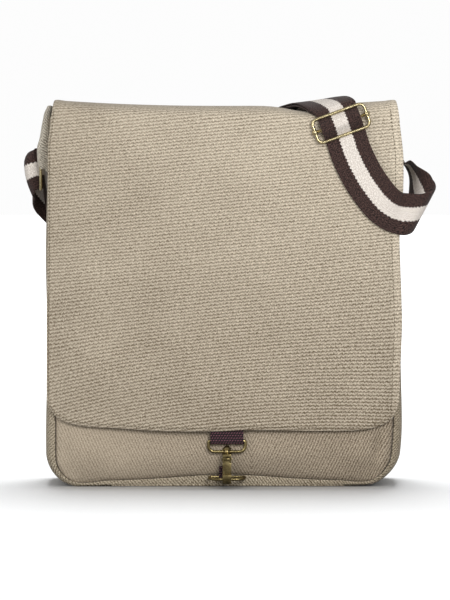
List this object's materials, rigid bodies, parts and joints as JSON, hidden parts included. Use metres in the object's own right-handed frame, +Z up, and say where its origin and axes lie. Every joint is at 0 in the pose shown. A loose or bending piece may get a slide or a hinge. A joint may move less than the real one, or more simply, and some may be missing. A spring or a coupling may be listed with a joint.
{
  "type": "canvas shoulder bag",
  "caption": "Flat canvas shoulder bag with a long front flap, a snap-hook closure and a striped webbing strap laid over one corner.",
  "frame": {"origin": "on the floor under the middle of the bag's flat base", "axes": "+Z up, -Y out of the front with the flap, +X to the right seen from the front"},
  "size_m": [0.383, 0.1006, 0.3647],
  "materials": {
    "canvas": "matte woven khaki cotton canvas",
    "webbing": "matte dark brown webbing with a cream middle stripe",
    "tab_webbing": "matte plum webbing",
    "brass": "antique brass, satin"
  },
  "bodies": {
    "bag": {"front_panel": "canvas", "back_panel": "canvas", "gusset": "canvas", "flap": "canvas", "closure_tab": "tab_webbing", "hook_eye": "brass", "hook_body": "brass", "hook_ring": "brass", "ring_tab": "tab_webbing", "side_tab_left": "canvas", "side_tab_right": "canvas", "strap_ring_left": "brass", "strap_ring_right": "brass", "strap": "webbing", "slider_frame": "brass", "slider_bar": "brass"},
    "gate": {"hook_gate": "brass"}
  },
  "joints": [
    {"name": "gate_hinge", "type": "hinge", "parent": "bag", "child": "gate", "pos_m": [0.0023, -0.05246, 0.0279], "axis": [1, 0, 0], "range_deg": [0, 20], "stiffness_Nm_per_rad": 0.01}
  ]
}
